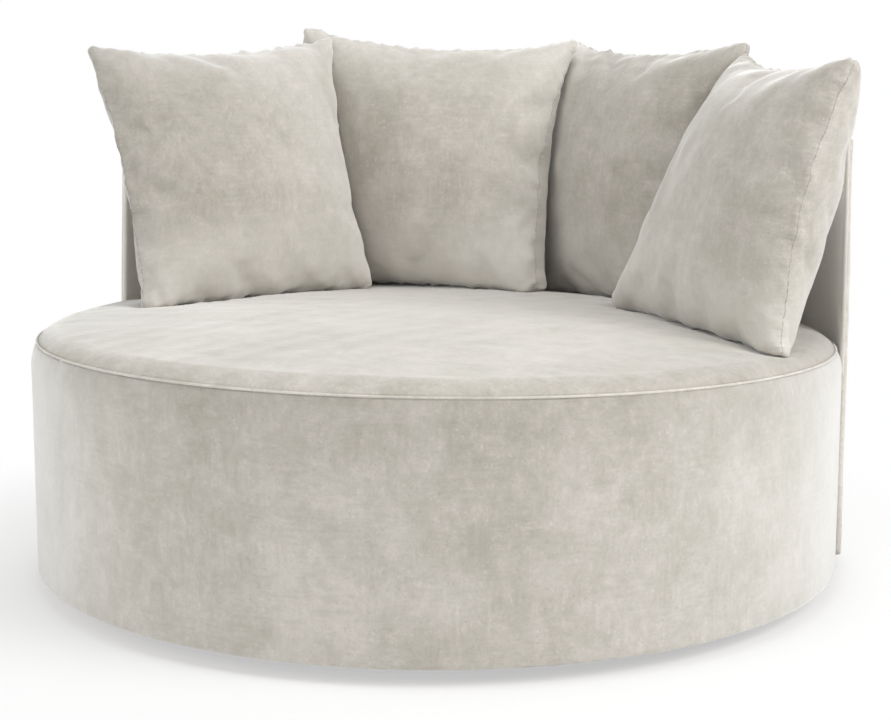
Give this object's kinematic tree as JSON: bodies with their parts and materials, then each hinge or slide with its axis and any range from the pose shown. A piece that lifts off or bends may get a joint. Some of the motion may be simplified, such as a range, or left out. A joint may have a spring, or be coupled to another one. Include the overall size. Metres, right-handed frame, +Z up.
{
  "type": "round swivel cuddle chair",
  "caption": "Round upholstered cuddle chair with a deep crowned seat, a thin wrap-round back and loose scatter cushions, turning on a hidden ball-bearing base.",
  "frame": {"origin": "on the floor, on the axis that the drum turns about, in the middle of the chair's footprint", "axes": "+Z up; -Y towards the open front of the seat, +Y towards the middle of the curved back; +X to the right of someone who looks at the front along +Y"},
  "size_m": [1.4206, 1.4129, 0.9168],
  "materials": {
    "velvet": "matte",
    "wadding": "matte",
    "cushion_filling": "matte",
    "foam": "matte",
    "lining_cloth": "matte",
    "plywood": "satin",
    "timber": "satin",
    "steel": "satin",
    "glide_plastic": "matte"
  },
  "bodies": {
    "base": {"plinth_board": "plywood", "glide_1": "glide_plastic", "glide_2": "glide_plastic", "glide_3": "glide_plastic", "glide_4": "glide_plastic", "glide_5": "glide_plastic", "glide_6": "glide_plastic", "bearing_lower_plate": "steel", "plinth_screw_1": "steel", "plinth_screw_2": "steel", "plinth_screw_3": "steel", "plinth_screw_4": "steel"},
    "ball_ring": {"bearing_balls": "steel"},
    "seat": {"bearing_upper_plate": "steel", "seat_screw_1": "steel", "seat_screw_2": "steel", "seat_screw_3": "steel", "seat_screw_4": "steel", "bottom_board": "plywood", "post_1": "timber", "post_2": "timber", "post_3": "timber", "post_4": "timber", "post_5": "timber", "post_6": "timber", "post_7": "timber", "post_8": "timber", "top_ring": "plywood", "drum_wall": "plywood", "seat_spring_1": "steel", "seat_spring_2": "steel", "seat_spring_3": "steel", "seat_spring_4": "steel", "seat_spring_5": "steel", "seat_spring_6": "steel", "deck_cloth": "lining_cloth", "dust_cover": "lining_cloth", "seat_foam": "foam", "drum_wadding": "wadding", "drum_cover": "velvet", "seat_cover": "velvet", "seat_welt": "velvet", "back_board": "plywood", "back_wadding": "wadding", "back_cover": "velvet", "back_bolt_1": "steel", "back_bolt_2": "steel", "back_bolt_3": "steel", "back_bolt_4": "steel"},
    "cushion_1": {"cushion_1_cover": "velvet", "cushion_1_pad": "cushion_filling"},
    "cushion_2": {"cushion_2_cover": "velvet", "cushion_2_pad": "cushion_filling"},
    "cushion_3": {"cushion_3_cover": "velvet", "cushion_3_pad": "cushion_filling"},
    "cushion_4": {"cushion_4_cover": "velvet", "cushion_4_pad": "cushion_filling"}
  },
  "joints": [
    {"name": "swivel", "type": "hinge", "parent": "base", "child": "seat", "pos_m": [0, 0, 0.0216], "axis": [0, 0, 1], "continuous": true},
    {"name": "ball_turn", "type": "hinge", "parent": "base", "child": "ball_ring", "pos_m": [0, 0, 0.0216], "axis": [0, 0, 1], "continuous": true},
    {"name": "cushion_1_lift", "type": "slide", "parent": "seat", "child": "cushion_1", "axis": [0, 0, 1], "range_m": [0, 0.6]},
    {"name": "cushion_2_lift", "type": "slide", "parent": "seat", "child": "cushion_2", "axis": [0.0408, 0.0328, 0.9986], "range_m": [0, 0.6]},
    {"name": "cushion_3_lift", "type": "slide", "parent": "seat", "child": "cushion_3", "axis": [0.1457, 0.1483, 0.9781], "range_m": [0, 0.6]},
    {"name": "cushion_4_lift", "type": "slide", "parent": "seat", "child": "cushion_4", "axis": [0, 0, 1], "range_m": [0, 0.6]}
  ],
  "couplings": [
    {"joint": "ball_turn", "follows": "swivel", "ratio": 0.5}
  ]
}
